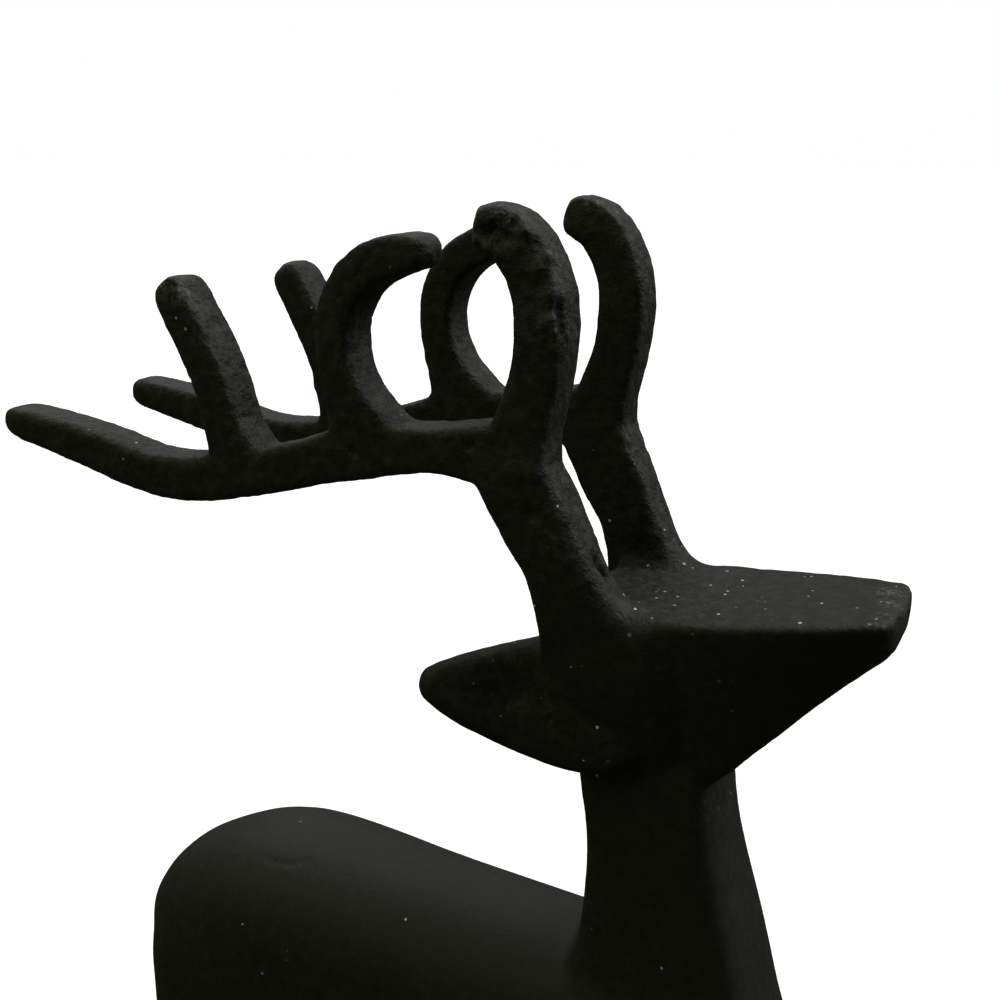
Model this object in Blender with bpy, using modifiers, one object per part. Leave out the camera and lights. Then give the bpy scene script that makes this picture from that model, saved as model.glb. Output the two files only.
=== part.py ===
"""Cast iron stag statue: a standing stag with tall looped antlers, cast in one with its low base.

The stag faces +X and is the same on both sides of the plane Y = 0. The origin is the middle of
the base's underside. All values are metres.
"""

import bmesh
import bpy
from math import cos, pi, sin
from mathutils import Vector

# Overall size of the figure, from the ground to the top of the antlers
FIGURE_HEIGHT = 0.320

# The height that the stations below are drawn at, in millimetres
DRAWN_HEIGHT = 320.0

# Base
BASE_LENGTH = 0.184
BASE_WIDTH = 0.072
BASE_THICKNESS = 0.009
BASE_CORNER_RADIUS = 0.014
BASE_EDGE_RADIUS = 0.002
STEPS_IN_BASE_CORNER = 6
STEPS_IN_BASE_EDGE = 3
HOOF_DEPTH_IN_BASE = 0.005

# Antlers: two flat branching plates side by side, a little farther apart at their rear ends
ANTLER_ROOT_SPACING = 0.037
ANTLER_FRONT_SPACING = 0.0398
ANTLER_REAR_SPACING = 0.0420
TINE_THICKNESS = 0.0108
STEM_THICKNESS = 0.0118

# Left and right legs, measured between their centre lines
LEG_SPACING_AT_BODY = 0.027
LEG_SPACING_AT_GROUND = 0.034

# Drawn places, in millimetres, where the leg and antler spacings above hold
LEG_TOP = 120.0
ANTLER_FRONT = 43.0
ANTLER_REAR = -98.0

# Skin of the casting
SKIN_GRID = 0.0011
SKIN_SMOOTHING = 3
SKIN_TRIANGLES = 9300
STEPS_BETWEEN_STATIONS = 5
SECTION_SIDES = 24
STEPS_IN_ROUND_END = 4

# Sections: 2 is an ellipse, and a larger number is nearer to a rectangle
ROUND_SECTION = 2.5
SOFT_SECTION = 3.2
SQUARE_SECTION = 9.0
FLAT_SECTION = 20.0

# Directions
FORWARD = (1.0, 0.0, 0.0)
LEFTWARD = (0.0, 1.0, 0.0)
UPWARD = (0.0, 0.0, 1.0)

# Upward along the right ear, whose outer face leans back toward the head
EAR_LEAN = (0.0, 0.28, 1.0)

CAST_IRON_COLOUR = (0.012, 0.012, 0.012, 1.0)
CAST_IRON_ROUGHNESS = 0.75
CAST_IRON_METALLIC = 0.3


def drawn(millimetres):
    """Turn a length of the drawn figure into metres of the real one."""
    return millimetres * FIGURE_HEIGHT / DRAWN_HEIGHT


def catmull_rom(before, start, end, after, t):
    """Blend four neighbouring stations smoothly, value by value."""
    values = []
    for a, b, c, d in zip(before, start, end, after):
        cubic = -a + 3.0 * b - 3.0 * c + d
        square = 2.0 * a - 5.0 * b + 4.0 * c - d
        values.append(0.5 * (2.0 * b + (c - a) * t + square * t**2 + cubic * t**3))
    return values


def smooth_stations(stations):
    """Fill in stations between the given ones, so that the form runs on without corners."""
    filled = []
    last = len(stations) - 1
    for index in range(last):
        before = stations[max(index - 1, 0)]
        after = stations[min(index + 2, last)]
        for step in range(STEPS_BETWEEN_STATIONS):
            t = step / STEPS_BETWEEN_STATIONS
            filled.append(catmull_rom(before, stations[index], stations[index + 1], after, t))
    filled.append(list(stations[last]))
    return filled


def section_points(centre, side, up, width, depth, squareness, keel):
    """Points of one closed section: width along side, depth along up, narrower below by keel."""
    points = []
    for index in range(SECTION_SIDES):
        angle = 2.0 * pi * index / SECTION_SIDES
        across = abs(cos(angle)) ** (2.0 / squareness) * (1.0 if cos(angle) >= 0 else -1.0)
        along = abs(sin(angle)) ** (2.0 / squareness) * (1.0 if sin(angle) >= 0 else -1.0)
        narrowing = 1.0 - keel * (1.0 - along) / 2.0
        points.append(centre + side * (across * narrowing * width / 2.0) + up * (along * depth / 2.0))
    return points


def loft(
    name,
    stations,
    squareness,
    side=LEFTWARD,
    facing=None,
    keel=0.0,
    round_start=0.0,
    round_end=0.0,
):
    """A closed form through stations (x, y, z, width, depth) of the drawn figure.

    The width lies along the side direction and the depth square to it. Each section is square to
    the centre line, or to the facing direction if there is one. A round end runs on past its last
    station by the given length.
    """
    side = Vector(side).normalized()
    rows = smooth_stations(stations)
    centres = [Vector([drawn(value) for value in row[:3]]) for row in rows]
    sizes = [(drawn(row[3]), drawn(row[4])) for row in rows]
    last = len(rows) - 1
    loops = []
    for index in range(last + 1):
        along = (centres[min(index + 1, last)] - centres[max(index - 1, 0)]).normalized()
        loops.append((centres[index], along, *sizes[index]))
    for length, at_end in ((drawn(round_start), False), (drawn(round_end), True)):
        if length <= 0.0:
            continue
        centre, along, width, depth = loops[-1] if at_end else loops[0]
        outward = along if at_end else -along
        for step in range(1, STEPS_IN_ROUND_END + 1):
            angle = pi / 2.0 * step / (STEPS_IN_ROUND_END + 0.5)
            moved = centre + outward * (length * sin(angle))
            loop = (moved, along, width * cos(angle), depth * cos(angle))
            loops.insert(len(loops) if at_end else 0, loop)

    mesh_builder = bmesh.new()
    rings = []
    for centre, along, width, depth in loops:
        up = Vector(facing or along).cross(side).normalized()
        points = section_points(centre, side, up, width, depth, squareness, keel)
        rings.append([mesh_builder.verts.new(point) for point in points])
    for ring, following in zip(rings, rings[1:]):
        for index in range(SECTION_SIDES):
            neighbour = (index + 1) % SECTION_SIDES
            corners = (ring[index], ring[neighbour], following[neighbour], following[index])
            mesh_builder.faces.new(corners)
    mesh_builder.faces.new(reversed(rings[0]))
    mesh_builder.faces.new(rings[-1])
    bmesh.ops.recalc_face_normals(mesh_builder, faces=mesh_builder.faces)
    mesh = bpy.data.meshes.new(name)
    mesh_builder.to_mesh(mesh)
    mesh_builder.free()
    return mesh


def body():
    """Barrel of the body, from the round rump to the chest."""
    return loft(
        "body",
        [
            (-78.0, 0.0, 127.0, 24.0, 26.0),
            (-71.5, 0.0, 129.0, 35.0, 38.0),
            (-61.0, 0.0, 130.0, 43.0, 48.5),
            (-47.0, 0.0, 132.5, 48.0, 55.5),
            (-28.0, 0.0, 133.5, 49.0, 57.0),
            (12.0, 0.0, 133.0, 46.0, 53.0),
            (54.0, 0.0, 131.0, 44.0, 54.0),
            (72.0, 0.0, 129.0, 40.0, 50.0),
            (84.0, 0.0, 127.0, 30.0, 36.0),
        ],
        ROUND_SECTION,
        facing=FORWARD,
        keel=-0.12,
        round_start=4.0,
        round_end=5.0,
    )


def neck():
    """Neck and breast, a four-sided column with a flat front that widens downward."""
    return loft(
        "neck",
        [
            (63.0, 0.0, 110.0, 20.0, 24.0),
            (66.5, 0.0, 120.0, 28.0, 39.0),
            (68.0, 0.0, 132.0, 33.0, 46.0),
            (65.4, 0.0, 150.0, 31.6, 42.2),
            (64.4, 0.0, 170.0, 27.6, 35.0),
            (62.2, 0.0, 187.0, 26.0, 29.6),
            (59.8, 0.0, 204.0, 26.0, 28.0),
            (60.0, 0.0, 222.0, 26.0, 26.0),
        ],
        SQUARE_SECTION,
        facing=UPWARD,
        round_start=3.0,
    )


def head():
    """Head, a wedge with a flat top that narrows down to the jaw and forward to the muzzle."""
    return loft(
        "head",
        [
            (45.0, 0.0, 225.4, 30.0, 33.8),
            (53.0, 0.0, 223.1, 38.0, 39.3),
            (64.0, 0.0, 223.0, 41.2, 40.8),
            (74.0, 0.0, 225.0, 39.8, 38.1),
            (84.0, 0.0, 230.8, 37.2, 29.0),
            (95.0, 0.0, 237.6, 33.8, 18.1),
            (105.5, 0.0, 243.4, 28.2, 9.2),
        ],
        FLAT_SECTION,
        facing=FORWARD,
        keel=0.46,
        round_end=2.2,
    )


def ear():
    """Right ear, a leaf that points back and out."""
    return loft(
        "ear",
        [
            (62.0, -8.0, 222.8, 24.0, 10.0),
            (56.0, -10.5, 222.4, 32.0, 12.0),
            (47.0, -15.5, 221.9, 29.4, 9.0),
            (36.0, -21.0, 222.9, 22.4, 7.4),
            (27.0, -27.0, 224.7, 14.6, 6.4),
            (21.2, -31.0, 226.3, 8.2, 5.2),
        ],
        SOFT_SECTION,
        side=EAR_LEAN,
        round_end=2.5,
    )


def brow():
    """Right side of the head below the antler, where the stem's form runs down into it."""
    return loft(
        "brow",
        [
            (51.2, -17.2, 242.0, 11.0, 19.0),
            (53.6, -15.6, 233.0, 14.0, 27.0),
            (55.4, -12.6, 223.0, 15.0, 30.0),
            (56.4, -9.0, 212.0, 13.0, 28.0),
            (56.5, -6.5, 204.0, 9.0, 22.0),
        ],
        ROUND_SECTION,
    )


def antler_side(x):
    """Sideways place of the right antler's plane at a drawn distance along the figure."""
    share = (ANTLER_FRONT - x) / (ANTLER_FRONT - ANTLER_REAR)
    spacing = ANTLER_FRONT_SPACING + (ANTLER_REAR_SPACING - ANTLER_FRONT_SPACING) * share
    return -spacing / 2.0 / drawn(1.0)


def flat_stroke(name, stations, round_end=0.0):
    """A tine or beam through stations (x, z, depth) in the plane of the right antler."""
    thickness = TINE_THICKNESS / drawn(1.0)
    placed = [(x, antler_side(x), z, thickness, depth) for x, z, depth in stations]
    return loft(name, placed, SQUARE_SECTION, round_end=round_end)


def antler_stem():
    """Stem of the right antler, from inside the head up to the beam."""
    root = -ANTLER_ROOT_SPACING / 2.0 / drawn(1.0)
    top = antler_side(36.0)
    thickness = STEM_THICKNESS / drawn(1.0)
    stations = [
        (52.6, root + 7.5, 225.0, thickness, 22.0),
        (52.0, root + 4.0, 232.0, thickness, 21.4),
        (50.6, root + 1.2, 238.5, thickness, 18.6),
        (48.3, root, 245.0, thickness, 15.2),
        (45.4, (2.0 * root + top) / 3.0, 251.5, thickness, 13.8),
        (41.2, (root + 2.0 * top) / 3.0, 260.0, thickness, 14.8),
        (37.0, top, 268.0, thickness, 15.0),
        (35.8, top, 272.0, thickness, 13.6),
    ]
    return loft("antler_stem", stations, SQUARE_SECTION)


def antler():
    """Right antler: its stem, its beam and its three upper tines."""
    beam = [
        (37.0, 272.3, 12.4),
        (29.0, 272.5, 12.0),
        (20.0, 272.2, 9.2),
        (11.0, 271.2, 10.0),
        (1.0, 269.6, 11.6),
        (-9.0, 266.8, 10.2),
        (-22.0, 263.0, 9.8),
        (-42.0, 259.0, 10.4),
        (-57.0, 259.2, 9.8),
        (-74.0, 263.0, 9.4),
        (-97.4, 266.8, 7.2),
    ]
    front_tine = [
        (36.4, 269.0, 15.0),
        (38.2, 278.0, 11.8),
        (41.1, 288.0, 10.3),
        (42.2, 298.0, 10.3),
        (40.2, 307.0, 10.0),
        (36.0, 313.3, 9.8),
        (30.8, 315.6, 9.0),
    ]
    second_tine = [
        (6.8, 268.0, 17.4),
        (2.4, 275.0, 13.8),
        (-1.0, 281.5, 9.8),
        (-3.0, 289.0, 8.2),
        (-2.7, 297.0, 8.4),
        (1.6, 304.6, 8.4),
        (8.8, 308.9, 8.4),
        (16.0, 310.2, 7.0),
    ]
    third_tine = [
        (-28.3, 262.0, 14.4),
        (-32.5, 271.5, 10.0),
        (-34.9, 280.5, 9.2),
        (-39.2, 289.5, 9.0),
        (-45.2, 299.8, 8.4),
    ]
    return [
        antler_stem(),
        flat_stroke("antler_beam", beam, round_end=3.5),
        flat_stroke("front_tine", front_tine, round_end=3.5),
        flat_stroke("second_tine", second_tine, round_end=3.5),
        flat_stroke("third_tine", third_tine, round_end=4.0),
    ]


def leg_side(height):
    """Sideways place of a right leg's centre line at a drawn height."""
    share = 1.0 - height / LEG_TOP
    spread = LEG_SPACING_AT_GROUND - LEG_SPACING_AT_BODY
    return -(LEG_SPACING_AT_BODY + spread * share) / 2.0 / drawn(1.0)


def leg(name, stations):
    """A right leg through stations (x, z, width, depth) from the body down into the base."""
    placed = []
    for x, z, width, depth in stations:
        placed.append((x, leg_side(z), z, width, depth))
    foot = (BASE_THICKNESS - HOOF_DEPTH_IN_BASE) / drawn(1.0)
    x, z, width, depth = stations[-1]
    placed.append((x, leg_side(foot), foot, width, depth))
    return loft(name, placed, SOFT_SECTION, facing=UPWARD)


def legs():
    """Right front and right hind leg."""
    front = leg(
        "front_leg",
        [
            (62.0, 142.0, 12.0, 14.0),
            (63.0, 128.0, 16.0, 30.0),
            (65.5, 106.0, 17.5, 28.0),
            (67.0, 80.0, 13.5, 18.5),
            (68.0, 60.0, 13.0, 16.0),
            (67.5, 36.0, 10.5, 11.5),
            (68.0, 20.0, 11.5, 13.0),
            (70.0, 10.0, 14.5, 18.0),
        ],
    )
    hind = leg(
        "hind_leg",
        [
            (-52.5, 145.0, 12.0, 16.0),
            (-54.0, 130.0, 18.0, 39.0),
            (-56.2, 112.0, 19.0, 36.5),
            (-59.6, 97.0, 17.2, 29.5),
            (-65.0, 80.0, 14.5, 20.8),
            (-72.0, 60.0, 13.0, 16.0),
            (-69.0, 36.0, 10.5, 12.0),
            (-67.0, 20.0, 11.5, 13.0),
            (-65.0, 10.0, 14.5, 18.0),
        ],
    )
    return [front, hind]


def join_both_sides(name, middle, right):
    """One object from the middle forms, the right forms and their mirror images, not yet fused."""
    joined = bmesh.new()
    for mesh in middle + right:
        joined.from_mesh(mesh)
    for mesh in right:
        first_new = len(joined.verts)
        joined.from_mesh(mesh)
        joined.verts.ensure_lookup_table()
        copied = joined.verts[first_new:]
        faces = {face for vertex in copied for face in vertex.link_faces}
        bmesh.ops.scale(joined, vec=(1.0, -1.0, 1.0), verts=copied)
        bmesh.ops.reverse_faces(joined, faces=list(faces))
    for mesh in middle + right:
        bpy.data.meshes.remove(mesh)
    result = bpy.data.meshes.new(name)
    joined.to_mesh(result)
    joined.free()
    return bpy.data.objects.new(name, result)


def triangle_count(thing):
    """Number of triangles of an object with its modifiers."""
    evaluated = thing.evaluated_get(bpy.context.evaluated_depsgraph_get())
    mesh = evaluated.to_mesh()
    mesh.calc_loop_triangles()
    count = len(mesh.loop_triangles)
    evaluated.to_mesh_clear()
    return count


def cast_as_one(figure):
    """Fuse the joined forms into one skin, soften their joints and thin the skin out."""
    remesh = figure.modifiers.new("one skin", "REMESH")
    remesh.mode = "VOXEL"
    remesh.voxel_size = SKIN_GRID
    soften = figure.modifiers.new("soft joints", "SMOOTH")
    soften.factor = 0.5
    soften.iterations = SKIN_SMOOTHING
    thin = figure.modifiers.new("fewer faces", "DECIMATE")
    thin.ratio = SKIN_TRIANGLES / triangle_count(figure)


def base_plate():
    """Low base with round corners and a softened upper edge; its underside is flat."""
    outline = bmesh.new()
    bmesh.ops.create_cube(outline, size=1.0)
    bmesh.ops.scale(outline, vec=(BASE_LENGTH, BASE_WIDTH, BASE_THICKNESS), verts=outline.verts)
    bmesh.ops.translate(outline, vec=(0.0, 0.0, BASE_THICKNESS / 2.0), verts=outline.verts)
    upright = []
    for edge in outline.edges:
        if abs(edge.verts[0].co.z - edge.verts[1].co.z) > BASE_THICKNESS / 2.0:
            upright.append(edge)
    bmesh.ops.bevel(
        outline,
        geom=upright,
        offset=BASE_CORNER_RADIUS,
        segments=STEPS_IN_BASE_CORNER,
        profile=0.5,
        affect="EDGES",
    )
    top_edges = []
    for edge in outline.edges:
        on_top = all(vertex.co.z > BASE_THICKNESS * 0.9 for vertex in edge.verts)
        if on_top and len(edge.link_faces) == 2:
            top_edges.append(edge)
    bmesh.ops.bevel(
        outline,
        geom=top_edges,
        offset=BASE_EDGE_RADIUS,
        segments=STEPS_IN_BASE_EDGE,
        profile=0.5,
        affect="EDGES",
    )
    mesh = bpy.data.meshes.new("base_plate")
    outline.to_mesh(mesh)
    outline.free()
    plate = bpy.data.objects.new("base_plate", mesh)
    plate.hide_render = True
    plate.display_type = "WIRE"
    return plate


def cast_iron():
    """Matte black cast iron."""
    material = bpy.data.materials.new("cast_iron")
    material.use_nodes = True
    shader = material.node_tree.nodes["Principled BSDF"]
    shader.inputs["Base Color"].default_value = CAST_IRON_COLOUR
    shader.inputs["Roughness"].default_value = CAST_IRON_ROUGHNESS
    shader.inputs["Metallic"].default_value = CAST_IRON_METALLIC
    return material


def main():
    for thing in list(bpy.data.objects):
        bpy.data.objects.remove(thing)
    parts = bpy.data.collections.new("cast_iron_stag")
    cutters = bpy.data.collections.new("cutters")
    bpy.context.scene.collection.children.link(parts)
    bpy.context.scene.collection.children.link(cutters)

    stag = join_both_sides("stag", [body(), neck(), head()], [ear(), brow(), *legs(), *antler()])
    parts.objects.link(stag)
    stag.data.materials.append(cast_iron())
    cast_as_one(stag)

    plate = base_plate()
    cutters.objects.link(plate)
    union = stag.modifiers.new("base", "BOOLEAN")
    union.operation = "UNION"
    union.solver = "EXACT"
    union.object = plate


main()
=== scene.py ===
"""The looks of the cast iron stag: a finely worked copy of the casting, its iron finish, a pale
floor, soft studio light and the camera. All values are metres unless a name says otherwise.
"""

import math

import bpy
import numpy as np
from mathutils import Euler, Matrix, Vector, noise
from mathutils.bvhtree import BVHTree


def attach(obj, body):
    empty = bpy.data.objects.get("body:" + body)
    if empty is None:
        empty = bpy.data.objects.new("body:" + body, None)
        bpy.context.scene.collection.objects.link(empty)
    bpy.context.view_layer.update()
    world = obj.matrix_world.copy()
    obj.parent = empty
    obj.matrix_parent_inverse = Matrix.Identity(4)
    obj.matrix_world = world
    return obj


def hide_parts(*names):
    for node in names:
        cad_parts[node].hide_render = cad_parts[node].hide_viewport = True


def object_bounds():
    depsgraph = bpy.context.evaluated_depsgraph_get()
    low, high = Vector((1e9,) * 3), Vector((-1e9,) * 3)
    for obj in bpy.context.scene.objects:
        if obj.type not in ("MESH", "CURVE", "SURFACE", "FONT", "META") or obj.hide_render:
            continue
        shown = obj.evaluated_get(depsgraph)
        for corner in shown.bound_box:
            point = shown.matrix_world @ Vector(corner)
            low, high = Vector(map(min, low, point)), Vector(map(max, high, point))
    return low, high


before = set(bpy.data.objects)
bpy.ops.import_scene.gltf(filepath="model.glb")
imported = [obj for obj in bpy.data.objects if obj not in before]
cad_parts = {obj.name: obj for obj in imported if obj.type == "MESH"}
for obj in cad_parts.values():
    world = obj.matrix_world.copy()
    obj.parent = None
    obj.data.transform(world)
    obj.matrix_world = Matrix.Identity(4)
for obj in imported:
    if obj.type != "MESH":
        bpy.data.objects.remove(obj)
cad_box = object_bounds()

# Camera
CAMERA_PLACE = (0.1364, -0.2200, 0.3278)
CAMERA_TURN_DEG = (73.96, 0.0, 27.50)
CAMERA_LENS_MM = 43.2
SENSOR_WIDTH_MM = 36.0
CAMERA_CLIP_START = 0.01
PHOTO_SIDE_PIXELS = 1000

# Light: direction to each lamp, its strength and its colour
LAMP_WIDTH_DEG = 50.0
YELLOWISH = (1.0, 1.0, 0.62)
NEUTRAL = (1.0, 1.0, 1.0)
LAMPS = {
    "key": ((0.75, 0.66, 1.0), 2.52, NEUTRAL),
    "rear": ((-0.707, 0.707, 1.0), 0.98, NEUTRAL),
    "overhead": ((0.0, 0.0, 1.0), 0.25, NEUTRAL),
    "tail_side": ((-0.707, -0.707, 1.0), 0.85, YELLOWISH),
}
ROOM_GLOW = 0.060
BACKDROP_WHITE = 1.0

# Floor
FLOOR_HALF_SIDE = 30.0
FLOOR_COLOUR = (1.0, 1.0, 1.0, 1.0)
FLOOR_GLOW = 0.12
FLOOR_ROUGHNESS = 0.9

# Fine mesh of the casting
FINE_GRID = 0.00072
WELD_DISTANCE = 0.00001
FIRST_SMOOTHING = 3
MOST_TRIANGLES = 190000
BOX_MARGIN = 0.00002
UNDERSIDE_BAND = 0.0004
RELIEF_FULL_ABOVE = 0.002

# Finish: colours
DARK_IRON = (0.0112, 0.0112, 0.0108, 1.0)
PALE_IRON = (0.036, 0.036, 0.035, 1.0)
# The iron's own dark blotches, and painted shade toward the muzzle, blend to this colour
BLOTCHED_AND_SHADED_IRON = (0.0085, 0.0088, 0.0078, 1.0)
RUST = (0.024, 0.015, 0.011, 1.0)
RUBBED_AND_HIGHLIT_IRON = (0.150, 0.146, 0.130, 1.0)
SPECK = (0.60, 0.58, 0.52, 1.0)

# Finish: size of its patterns, in features to the metre
MOTTLES_PER_METRE = 420.0
BLOTCHES_PER_METRE = 70.0
SAND_PER_METRE = 1500.0
LUMPS_PER_METRE = 620.0
RUST_PER_METRE = 45.0
RUB_FLECKS_PER_METRE = 900.0
SPECK_CELLS_PER_METRE = 430.0

# Finish: painted shade, the colour darkens from here forward, toward the muzzle
PAINTED_SHADE_START = 0.070
PAINTED_SHADE_FULL = 0.105

# Finish: relief of the sand grain, and gloss
GRAIN_RELIEF = 0.00032
GLOSS = 0.18

# Zones: the antlers are cast roughest, the head less so, and the body is smoothest
ANTLER_LOW = 0.243
ANTLER_HIGH = 0.256
HEAD_LOW = 0.188
HEAD_HIGH = 0.206
HEAD_REAR = 0.012
HEAD_FRONT = 0.030

# The body and legs are faired smooth, the base is not: heights above the base's top face
BASE_TOP = 0.009
FAIRED_FROM = 0.002
FAIRED_FULLY_FROM = 0.008

# Faces of the antlers and the head meet in crisper edges than the plain solid has
EDGE_BLUR_STEPS = 14
EDGE_SHARPENING = 0.4
MOST_SHARPENING = 0.0004
BODY_FAIRING_STEPS = 60

# Soft places on both sides: from a point to a point, within a radius, so many smoothing steps.
# Each antler's stem runs into the head in one sweep, and the tines' tips are rounded.
SOFT_PLACES = (
    ((0.0580, 0.0245, 0.2410), (0.0580, 0.0245, 0.2410), 0.014, 80),
    ((0.0575, 0.0260, 0.2460), (0.0440, 0.0265, 0.2660), 0.005, 40),
    ((-0.1010, 0.0210, 0.2672), (-0.0980, 0.0210, 0.2668), 0.008, 45),
    ((-0.0470, 0.0208, 0.3030), (-0.0455, 0.0208, 0.3000), 0.007, 30),
    ((0.0190, 0.0200, 0.3102), (0.0165, 0.0200, 0.3100), 0.007, 30),
    ((0.0290, 0.0199, 0.3158), (0.0310, 0.0199, 0.3155), 0.007, 25),
)

# Unevenness of the skin: size of its features
BROAD_SIZE = 0.016
SWELL_SIZE = 0.0055
PATCH_SIZE = 0.011
LUMP_SIZE = 0.0026
GRAIN_SIZE = 0.0015
PIT_SIZE = 0.0019

# Unevenness of the skin: its height
BROAD_HEIGHT = 0.00016
SWELL_HEIGHT_ANTLERS = 0.00014
SWELL_HEIGHT_HEAD = 0.00004
SWELL_HEIGHT_BODY = 0.00003
LUMP_HEIGHT = 0.00014
GRAIN_HEIGHT = 0.00011
LEAST_HEIGHT = 0.00001
PIT_DEPTH = 0.00026

# Worn edges: smoothing steps that find them, and how far an edge stands out when it is fully worn
WORN_EDGE_STEPS = 6
WORN_EDGE_HEIGHT = 0.0005

# Marks of the casting, each at a pixel of the photograph: radius and depth, where a negative
# depth is a lump that stands out
SPOTS = (
    ((352, 452), 0.0010, 0.0011),
    ((467, 447), 0.0009, 0.0009),
    ((471, 447), 0.0009, 0.0008),
    ((531, 516), 0.0013, 0.0009),
    ((631, 449), 0.0012, 0.0007),
    ((636, 458), 0.0009, 0.0006),
    ((199, 303), 0.0014, 0.0005),
    ((180, 287), 0.0012, 0.0005),
    ((170, 280), 0.0014, -0.0005),
    ((163, 284), 0.0010, 0.0005),
    ((218, 324), 0.0012, 0.0005),
    ((482, 219), 0.0020, -0.0011),
    ((492, 228), 0.0012, 0.0008),
    ((478, 240), 0.0010, -0.0009),
    ((487, 247), 0.0011, -0.0009),
    ((497, 252), 0.0009, -0.0009),
    ((506, 238), 0.0011, 0.0010),
    ((486, 235), 0.0014, 0.0009),
    ((498, 243), 0.0010, 0.0008),
    ((513, 224), 0.0013, 0.0010),
    ((524, 232), 0.0013, -0.0008),
    ((538, 246), 0.0014, 0.0008),
    ((550, 258), 0.0012, -0.0007),
    ((557, 267), 0.0014, 0.0008),
    ((535, 272), 0.0016, -0.0006),
    ((548, 298), 0.0016, -0.0006),
    ((543, 326), 0.0009, -0.0011),
    ((553, 321), 0.0009, -0.0012),
    ((554, 333), 0.0010, -0.0010),
    ((544, 338), 0.0008, -0.0007),
    ((553, 348), 0.0008, -0.0007),
    ((577, 306), 0.0011, 0.0005),
    ((577, 328), 0.0011, 0.0005),
    ((500, 690), 0.0042, 0.0011),
    ((520, 697), 0.0036, 0.0009),
    ((909, 618), 0.0012, 0.0008),
    ((903, 604), 0.0016, 0.0005),
    ((898, 590), 0.0014, 0.0004),
    ((900, 625), 0.0014, 0.0004),
)

# Cracks and grooves between two pixels: half width and depth
GROOVES = (
    ((593, 554), (598, 563), 0.0006, 0.0014),
    ((598, 563), (607, 577), 0.0008, 0.0020),
    ((242, 418), (261, 417), 0.0005, 0.0005),
    ((264, 858), (275, 862), 0.0009, 0.00015),
    ((275, 862), (289, 864), 0.0009, 0.00019),
    ((289, 864), (300, 862), 0.0009, 0.00019),
    ((300, 862), (308, 859), 0.0009, 0.00015),
    ((559, 304), (560, 334), 0.0008, 0.0011),
    ((535, 752), (545, 760), 0.0005, 0.0003),
)

# Places where the skin is rubbed lighter, and one painted highlight: radius and how much
RUBS_AND_HIGHLIGHT = (
    ((888, 592), 0.0022, 1.0),
    ((891, 603), 0.0020, 0.9),
    ((886, 616), 0.0016, 0.7),
    ((881, 625), 0.0012, 0.6),
    ((166, 279), 0.0034, 0.9),
    ((184, 290), 0.0028, 0.8),
    ((200, 305), 0.0020, 0.5),
    # Painted highlight: the small whitish spot at the tip of the near front tine
    ((510, 217), 0.0013, 1.0),
    ((506, 222), 0.0042, 0.45),
    ((494, 236), 0.0036, 0.35),
    ((556, 262), 0.0034, 0.45),
    ((546, 302), 0.0032, 0.22),
    ((556, 540), 0.0050, 0.16),
    ((478, 240), 0.0010, 0.9),
    ((497, 252), 0.0010, 0.7),
    ((543, 326), 0.0008, 1.0),
    ((553, 320), 0.0008, 1.0),
    ((554, 333), 0.0010, 0.8),
    ((556, 255), 0.0014, 0.6),
    ((598, 204), 0.0022, 0.6),
    ((578, 330), 0.0012, 0.6),
    ((15, 408), 0.0022, 0.4),
    ((420, 232), 0.0020, 0.3),
)

# Patches that are cast rougher than the rest of their zone: radius and how much
ROUGH_PATCHES = (
    ((492, 235), 0.0075, 1.0),
    ((550, 320), 0.0080, 0.6),
    ((650, 540), 0.0070, 1.2),
    ((168, 285), 0.0060, 0.8),
    ((600, 205), 0.0060, 0.7),
)


def smooth_step(values, low, high):
    """0 below low, 1 above high, and a smooth rise between them."""
    share = np.clip((values - low) / (high - low), 0.0, 1.0)
    return share * share * (3.0 - 2.0 * share)


def noise_at(points, size, seed):
    """Smooth seeded noise, about -1 to 1, with features of the given size, at each point."""
    shift = Vector((seed * 7.31, seed * 3.17, seed * 5.73))
    return np.array([noise.noise(Vector(point) / size + shift) for point in points])


def vertex_places(mesh):
    values = np.zeros(len(mesh.vertices) * 3, np.float32)
    mesh.vertices.foreach_get("co", values)
    return values.reshape(-1, 3).astype(float)


def vertex_directions(mesh):
    values = np.zeros(len(mesh.vertices) * 3, np.float32)
    mesh.vertex_normals.foreach_get("vector", values)
    return values.reshape(-1, 3).astype(float)


def set_places(mesh, places):
    mesh.vertices.foreach_set("co", places.astype(np.float32).ravel())
    mesh.update()


class Neighbours:
    """The edges of a mesh, for means over each vertex's neighbours."""

    def __init__(self, mesh):
        ends = np.zeros(len(mesh.edges) * 2, np.int32)
        mesh.edges.foreach_get("vertices", ends)
        self.first, self.second = ends.reshape(-1, 2).T
        self.total = len(mesh.vertices)
        count = np.bincount(np.concatenate((self.first, self.second)), minlength=self.total)
        self.count = np.maximum(count, 1)

    def mean(self, values):
        columns = []
        for column in values.T:
            total = np.bincount(self.first, column[self.second], self.total)
            total += np.bincount(self.second, column[self.first], self.total)
            columns.append(total / self.count)
        return np.stack(columns, 1)

    def smoothed(self, values, steps, share=None):
        """Values after so many smoothing steps, each vertex moving by its own share."""
        for _ in range(steps):
            change = (self.mean(values) - values) * 0.5
            values = values + (change if share is None else change * share[:, None])
        return values


def apply_modifiers(piece):
    """Turns the piece's modifiers into its mesh."""
    graph = bpy.context.evaluated_depsgraph_get()
    finished = bpy.data.meshes.new_from_object(piece.evaluated_get(graph))
    piece.modifiers.clear()
    piece.data = finished


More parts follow.
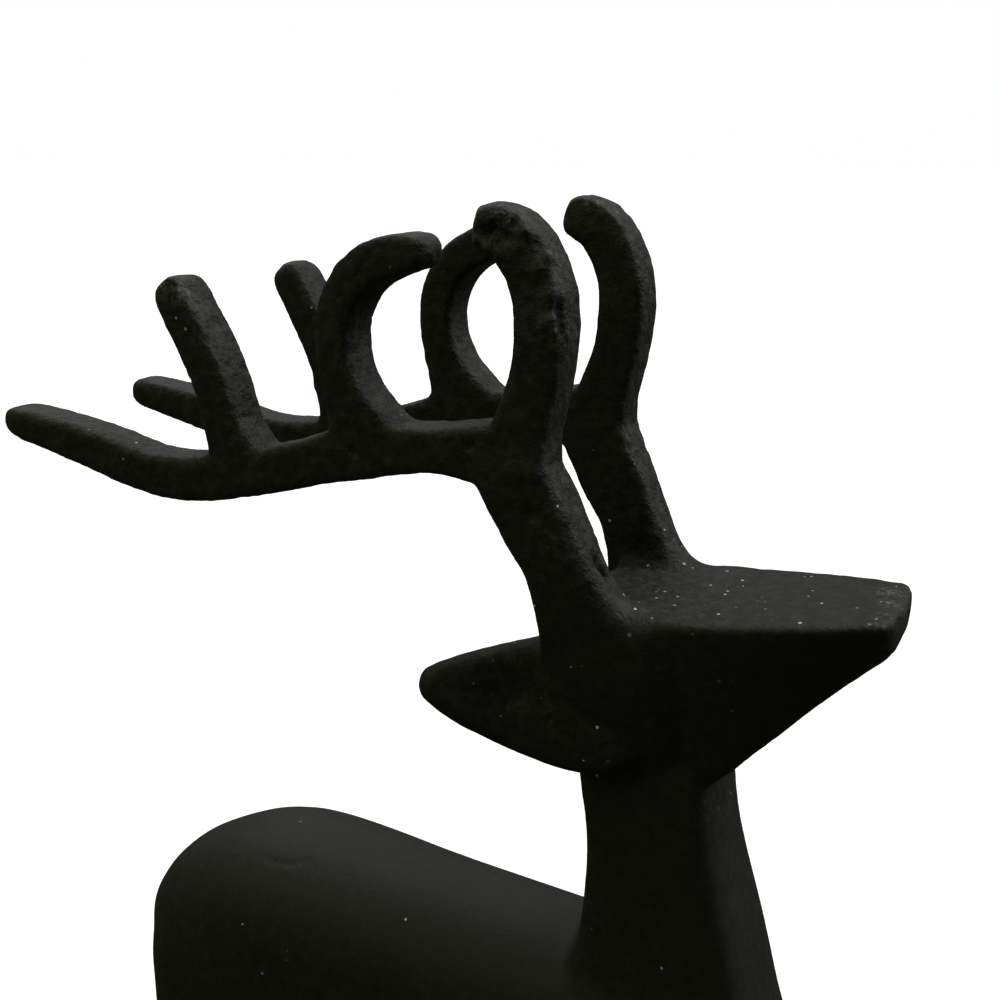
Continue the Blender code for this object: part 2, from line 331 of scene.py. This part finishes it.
def fine_casting():
    """A copy of the CAD solid, remeshed finely, so that its surface can be worked."""
    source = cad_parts["stag"]
    piece = bpy.data.objects.new("cast_iron_stag", source.data.copy())
    bpy.context.scene.collection.objects.link(piece)
    weld = piece.modifiers.new("Weld", "WELD")
    weld.merge_threshold = WELD_DISTANCE
    remesh = piece.modifiers.new("Remesh", "REMESH")
    remesh.mode = "VOXEL"
    remesh.voxel_size = FINE_GRID
    apply_modifiers(piece)
    return piece


def zones(places):
    """How much each vertex belongs to the antlers, to the head with its ears, and to the rest."""
    x, _, z = places.T
    antlers = smooth_step(z, ANTLER_LOW, ANTLER_HIGH)
    head = smooth_step(z, HEAD_LOW, HEAD_HIGH) * smooth_step(x, HEAD_REAR, HEAD_FRONT)
    head = head * (1.0 - antlers)
    return antlers, head, 1.0 - np.maximum(antlers, head)


def distance_to_line(places, start, end):
    """Distance from each place to the line between two points."""
    along = end - start
    length = max(float(along @ along), 1e-12)
    share = np.clip((places - start) @ along / length, 0.0, 1.0)
    return np.linalg.norm(places - start - share[:, None] * along, axis=1)


def fair_and_sharpen(piece):
    """Runs the body smooth, softens the named places and crisps the antlers' and head's edges."""
    mesh = piece.data
    near = Neighbours(mesh)
    places = near.smoothed(vertex_places(mesh), FIRST_SMOOTHING)
    antlers, head, rest = zones(places)
    above_base = smooth_step(places[:, 2], BASE_TOP + FAIRED_FROM, BASE_TOP + FAIRED_FULLY_FROM)
    places = near.smoothed(places, BODY_FAIRING_STEPS, rest * above_base)
    one_side = places * np.where(places[:, 1:2] < 0.0, (1.0, -1.0, 1.0), 1.0)
    soft = np.zeros(len(places))
    for start, end, radius, steps in SOFT_PLACES:
        away = distance_to_line(one_side, np.array(start), np.array(end))
        share = 1.0 - smooth_step(away, radius * 0.3, radius)
        places = near.smoothed(places, steps, share)
        soft = np.maximum(soft, share)
    blurred = near.smoothed(places, EDGE_BLUR_STEPS)
    push = (places - blurred) * EDGE_SHARPENING * ((antlers + head) * (1.0 - soft))[:, None]
    length = np.linalg.norm(push, axis=1, keepdims=True)
    push *= np.minimum(1.0, MOST_SHARPENING / np.maximum(length, 1e-9))
    set_places(mesh, near.smoothed(places + push, 1))


def camera_ray(pixel):
    """The direction in which the camera sees a pixel of the photograph."""
    half = PHOTO_SIDE_PIXELS / 2.0
    focal = CAMERA_LENS_MM / SENSOR_WIDTH_MM * PHOTO_SIDE_PIXELS
    turn = Euler([math.radians(angle) for angle in CAMERA_TURN_DEG]).to_matrix()
    direction = Vector(((pixel[0] - half) / focal, (half - pixel[1]) / focal, -1.0))
    return (turn @ direction).normalized()


def spot_on(tree, pixel):
    """The point and outward direction of the casting that the camera sees at a pixel, if any."""
    point, outward, _, _ = tree.ray_cast(Vector(CAMERA_PLACE), camera_ray(pixel))
    if point is None:
        print("no surface at pixel", pixel)
        return None, None
    return np.array(point), np.array(outward)


def closeness(places, start, end, radius):
    """1 on the line from start to end, falling to 0 a few radii away from it."""
    return np.exp(-((distance_to_line(places, start, end) / radius) ** 2))


def cast_relief(piece, rough_patches):
    """The unevenness and pits of the casting's skin, moved into the mesh."""
    mesh = piece.data
    places = vertex_places(mesh)
    outward = vertex_directions(mesh)
    antlers, head, rest = zones(places)
    broad = noise_at(places, BROAD_SIZE, 1)
    swell = noise_at(places, SWELL_SIZE, 2)
    patch = np.clip(0.75 + 0.8 * noise_at(places, PATCH_SIZE, 3), 0.15, 1.6)
    lumps = noise_at(places, LUMP_SIZE, 4)
    grain = noise_at(places, GRAIN_SIZE, 5)
    pits = smooth_step(noise_at(places, PIT_SIZE, 6), 0.40, 0.62)
    rough = np.clip(antlers + 0.3 * head, 0, 1) * patch + rough_patches
    height = BROAD_HEIGHT * broad * (rest + head * 0.5)
    height += swell * (
        SWELL_HEIGHT_ANTLERS * antlers + SWELL_HEIGHT_HEAD * head + SWELL_HEIGHT_BODY * rest
    )
    height += lumps * (LUMP_HEIGHT * rough + LEAST_HEIGHT)
    height += grain * (GRAIN_HEIGHT * rough + LEAST_HEIGHT)
    height -= pits * PIT_DEPTH * rough
    underside = 1.0 - smooth_step(places[:, 2], UNDERSIDE_BAND, RELIEF_FULL_ABOVE)
    set_places(mesh, places + outward * (height * (1.0 - underside))[:, None])


def named_marks(piece, tree):
    """The pits, lumps, cracks and grooves that show, each moved into the mesh where it is."""
    places = vertex_places(piece.data)
    for pixel, radius, depth in SPOTS:
        centre, outward = spot_on(tree, pixel)
        if centre is not None:
            places -= outward * (closeness(places, centre, centre, radius) * depth)[:, None]
    for first, second, half_width, depth in GROOVES:
        start, outward = spot_on(tree, first)
        end, _ = spot_on(tree, second)
        if start is not None and end is not None:
            places -= outward * (closeness(places, start, end, half_width) * depth)[:, None]
    set_places(piece.data, places)


def painted_spots(piece, tree, spots):
    """A value for each vertex, high near the given pixels' places."""
    places = vertex_places(piece.data)
    values = np.zeros(len(places))
    for pixel, radius, amount in spots:
        centre, _ = spot_on(tree, pixel)
        if centre is not None:
            values = np.maximum(values, closeness(places, centre, centre, radius) * amount)
    return values


def keep_in_box(piece):
    """Keeps the piece in the solid's box, and its underside flat."""
    places = vertex_places(piece.data)
    low, high = (np.array(corner) for corner in cad_box)
    places = np.clip(places, low + BOX_MARGIN * np.array([1, 1, 0]), high - BOX_MARGIN)
    places[places[:, 2] < UNDERSIDE_BAND, 2] = 0.0
    set_places(piece.data, places)


def thin_out(piece):
    triangles = sum(len(polygon.vertices) - 2 for polygon in piece.data.polygons)
    decimate = piece.modifiers.new("Decimate", "DECIMATE")
    decimate.ratio = min(1.0, MOST_TRIANGLES / triangles)
    apply_modifiers(piece)


def store(mesh, name, values):
    attribute = mesh.attributes.new(name, "FLOAT", "POINT")
    attribute.data.foreach_set("value", values.astype(np.float32))


def mark_surface(piece, tree):
    """Stores how rough, rubbed and speckled each vertex's place is, for the finish; rough is raised on
    faces toward the lamps, which paints light into the mottling.
    """
    mesh = piece.data
    near = Neighbours(mesh)
    places = vertex_places(mesh)
    antlers, head, _ = zones(places)
    blurred = near.smoothed(places, WORN_EDGE_STEPS)
    outward = vertex_directions(mesh)
    convex = np.einsum("ij,ij->i", places - blurred, outward)
    edge = np.clip(convex / WORN_EDGE_HEIGHT, 0.0, 1.0) * (0.10 + 0.16 * antlers)
    patches = painted_spots(piece, tree, ROUGH_PATCHES)
    # Painted light: faces turned up and to the front, toward the lamps, get a higher rough value, so
    # their pale mottles are stronger
    faces_toward_lamps = np.clip(outward[:, 2] * 0.8 + outward[:, 0] * 0.6, 0.0, 1.0)
    rough = antlers * (0.22 + 0.72 * faces_toward_lamps) + head * (0.08 + 0.55 * faces_toward_lamps) + patches * 0.4
    store(mesh, "rough", np.clip(rough, 0.0, 1.0))
    # The rubbed value also carries the painted highlight at the near front tine's tip
    store(mesh, "rubbed_and_highlit", np.maximum(edge, painted_spots(piece, tree, RUBS_AND_HIGHLIGHT)))
    facing_up = np.clip(outward[:, 2], 0.0, 1.0)
    specks = head * (0.10 + 0.60 * facing_up) + antlers * (0.05 + 0.10 * facing_up) + 0.03
    store(mesh, "speckled", specks)


class Nodes:
    """Adds nodes and links to one node tree."""

    def __init__(self, tree):
        self.tree = tree

    def add(self, kind, values=(), **settings):
        made = self.tree.nodes.new(kind)
        for name, value in settings.items():
            setattr(made, name, value)
        for socket, value in dict(values).items():
            if hasattr(value, "is_output"):
                self.tree.links.new(value, made.inputs[socket])
            else:
                made.inputs[socket].default_value = value
        return made

    def calculate(self, operation, *values):
        """The result of a Math node on the given values."""
        return self.add("ShaderNodeMath", dict(enumerate(values)), operation=operation).outputs[0]

    def noise(self, place, per_metre, detail, seed):
        """Fractal noise, about 0 to 1; the seed shifts it so that no two patterns are alike."""
        shift = (seed, seed * 0.7, seed * 0.3)
        moved = self.add("ShaderNodeVectorMath", {0: place, 1: shift}, operation="ADD")
        settings = {"Vector": moved.outputs[0], "Scale": per_metre, "Detail": detail, "Roughness": 0.6}
        return self.add("ShaderNodeTexNoise", settings).outputs["Fac"]

    def ramp(self, value, low, high):
        """0 below low and 1 above high."""
        settings = {"Value": value, "From Min": low, "From Max": high, "To Min": 0.0, "To Max": 1.0}
        return self.add("ShaderNodeMapRange", settings, clamp=True).outputs["Result"]

    def blend(self, share, first, second):
        """A mix of two colours, all of the second where the share is 1."""
        mixed = self.add("ShaderNodeMix", data_type="RGBA")
        for socket, value in ((0, share), (6, first), (7, second)):
            if hasattr(value, "is_output"):
                self.tree.links.new(value, mixed.inputs[socket])
            else:
                mixed.inputs[socket].default_value = value
        return mixed.outputs[2]


def iron_finish():
    """Matte black cast iron: sand grain, mottling, pale specks, rubbed edges and a hint of rust."""
    material = bpy.data.materials.new("cast_iron")
    material.use_nodes = True
    nodes = Nodes(material.node_tree)
    place = nodes.add("ShaderNodeTexCoord").outputs["Object"]
    rough = nodes.add("ShaderNodeAttribute", attribute_name="rough").outputs["Fac"]
    rubbed_and_highlit = nodes.add("ShaderNodeAttribute", attribute_name="rubbed_and_highlit").outputs["Fac"]
    speckled = nodes.add("ShaderNodeAttribute", attribute_name="speckled").outputs["Fac"]

    mottling = nodes.noise(place, MOTTLES_PER_METRE, 6.0, 1.0)
    blotches = nodes.noise(place, BLOTCHES_PER_METRE, 3.0, 2.0)
    sand = nodes.noise(place, SAND_PER_METRE, 3.0, 3.0)
    lumps = nodes.noise(place, LUMPS_PER_METRE, 2.0, 4.0)

    # Colour: dark iron, a little paler in mottles, more so where the skin is rough and, as painted
    # light, on faces toward the lamps
    mottle_share = nodes.ramp(mottling, 0.44, 0.62)
    contrast = nodes.calculate("MULTIPLY_ADD", rough, 0.80, 0.20)
    share = nodes.calculate("MULTIPLY", mottle_share, contrast)
    colour = nodes.blend(share, DARK_IRON, PALE_IRON)
    # Painted shade: the colour darkens toward the muzzle, on top of the iron's own dark blotches
    toward_muzzle = nodes.add("ShaderNodeSeparateXYZ", {0: place}).outputs[0]
    muzzle_shade_share = nodes.calculate("MULTIPLY", nodes.ramp(toward_muzzle, PAINTED_SHADE_START, PAINTED_SHADE_FULL), 0.55)
    blotch_and_shade_share = nodes.calculate("MULTIPLY_ADD", nodes.ramp(blotches, 0.52, 0.70), 0.28, muzzle_shade_share)
    colour = nodes.blend(blotch_and_shade_share, colour, BLOTCHED_AND_SHADED_IRON)

    # Rust: a faint brown breath in a few patches
    rust_patches = nodes.noise(place, RUST_PER_METRE, 4.0, 5.0)
    rust = nodes.calculate("MULTIPLY", nodes.ramp(rust_patches, 0.62, 0.78), 0.35)
    colour = nodes.blend(rust, colour, RUST)

    # Rubbed places, and one painted highlight: paler, broken up by the grain
    flecks = nodes.ramp(nodes.noise(place, RUB_FLECKS_PER_METRE, 4.0, 6.0), 0.46, 0.66)
    rub_and_highlight = nodes.calculate("MULTIPLY", rubbed_and_highlit, flecks)
    colour = nodes.blend(rub_and_highlight, colour, RUBBED_AND_HIGHLIT_IRON)

    # Specks: tiny pale grains in some cells of a fine cell pattern
    cell_settings = {"Vector": place, "Scale": SPECK_CELLS_PER_METRE, "Randomness": 1.0}
    cells = nodes.add("ShaderNodeTexVoronoi", cell_settings)
    chance = nodes.add("ShaderNodeSeparateColor", {0: cells.outputs["Color"]})
    chosen = nodes.calculate("LESS_THAN", chance.outputs[0], speckled)
    size = nodes.calculate("MULTIPLY_ADD", chance.outputs[1], 0.11, 0.06)
    inside = nodes.calculate("LESS_THAN", cells.outputs["Distance"], size)
    speck = nodes.calculate("MULTIPLY", chosen, inside)
    brightness = nodes.calculate("POWER", chance.outputs[2], 2.0)
    strength = nodes.calculate("MULTIPLY_ADD", brightness, 0.85, 0.10)
    speck_share = nodes.calculate("MULTIPLY", speck, strength)
    colour = nodes.blend(speck_share, colour, SPECK)

    # Relief: sand grain and small lumps, strong on the antlers and faint on the body
    depth = nodes.calculate("MULTIPLY_ADD", rough, 0.85, 0.12)
    coarse = nodes.calculate("MULTIPLY", lumps, 2.2)
    relief = nodes.calculate("MULTIPLY", nodes.calculate("ADD", sand, coarse), depth)
    bump = nodes.add("ShaderNodeBump", {"Height": relief, "Distance": GRAIN_RELIEF, "Strength": 1.0})

    roughness = nodes.calculate("MULTIPLY_ADD", mottling, 0.25, 0.50)
    shader = material.node_tree.nodes["Principled BSDF"]
    links = material.node_tree.links
    links.new(colour, shader.inputs["Base Color"])
    links.new(roughness, shader.inputs["Roughness"])
    links.new(bump.outputs["Normal"], shader.inputs["Normal"])
    shader.inputs["Specular IOR Level"].default_value = GLOSS
    return material


def stag_piece():
    piece = fine_casting()
    fair_and_sharpen(piece)
    tree = BVHTree.FromObject(piece, bpy.context.evaluated_depsgraph_get())
    cast_relief(piece, painted_spots(piece, tree, ROUGH_PATCHES))
    named_marks(piece, tree)
    keep_in_box(piece)
    thin_out(piece)
    mark_surface(piece, tree)
    piece.data.materials.clear()
    piece.data.materials.append(iron_finish())
    piece.data.shade_smooth()
    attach(piece, "root")
    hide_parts("stag")


def pale_floor():
    mesh = bpy.data.meshes.new("floor")
    side = FLOOR_HALF_SIDE
    corners = [(-side, -side, 0), (side, -side, 0), (side, side, 0), (-side, side, 0)]
    mesh.from_pydata(corners, [], [(0, 1, 2, 3)])
    floor = bpy.data.objects.new("floor", mesh)
    bpy.context.scene.collection.objects.link(floor)
    material = bpy.data.materials.new("pale_floor")
    material.use_nodes = True
    shader = material.node_tree.nodes["Principled BSDF"]
    shader.inputs["Base Color"].default_value = FLOOR_COLOUR
    shader.inputs["Roughness"].default_value = FLOOR_ROUGHNESS
    shader.inputs["Emission Color"].default_value = FLOOR_COLOUR
    shader.inputs["Emission Strength"].default_value = FLOOR_GLOW
    mesh.materials.append(material)
    floor.visible_diffuse = False
    floor.visible_glossy = False


def studio_light():
    """Broad soft lamps from above in a dim room; the camera sees the backdrop white."""
    for name, (direction, strength, colour) in LAMPS.items():
        lamp = bpy.data.lights.new(name, "SUN")
        lamp.energy = strength
        lamp.angle = math.radians(LAMP_WIDTH_DEG)
        lamp.color = colour
        holder = bpy.data.objects.new(name, lamp)
        holder.rotation_euler = Vector(direction).to_track_quat("Z", "Y").to_euler()
        bpy.context.scene.collection.objects.link(holder)
    world = bpy.data.worlds.new("studio")
    bpy.context.scene.world = world
    world.use_nodes = True
    nodes = Nodes(world.node_tree)
    seen_by_camera = nodes.add("ShaderNodeLightPath").outputs["Is Camera Ray"]
    glow_settings = {"Strength": ROOM_GLOW, "Color": (*YELLOWISH, 1.0)}
    glow = nodes.add("ShaderNodeBackground", glow_settings).outputs[0]
    backdrop_settings = {"Strength": BACKDROP_WHITE, "Color": (*NEUTRAL, 1.0)}
    backdrop = nodes.add("ShaderNodeBackground", backdrop_settings).outputs[0]
    either = nodes.add("ShaderNodeMixShader", {0: seen_by_camera, 1: glow, 2: backdrop})
    surface = world.node_tree.nodes["World Output"].inputs["Surface"]
    world.node_tree.links.new(either.outputs[0], surface)


def photo_camera():
    lens = bpy.data.cameras.new("camera")
    lens.lens = CAMERA_LENS_MM
    lens.sensor_width = SENSOR_WIDTH_MM
    lens.clip_start = CAMERA_CLIP_START
    camera = bpy.data.objects.new("camera", lens)
    camera.location = CAMERA_PLACE
    camera.rotation_euler = [math.radians(angle) for angle in CAMERA_TURN_DEG]
    bpy.context.scene.collection.objects.link(camera)
    bpy.context.scene.camera = camera
    bpy.context.scene.view_settings.view_transform = "Standard"


stag_piece()
pale_floor()
studio_light()
photo_camera()
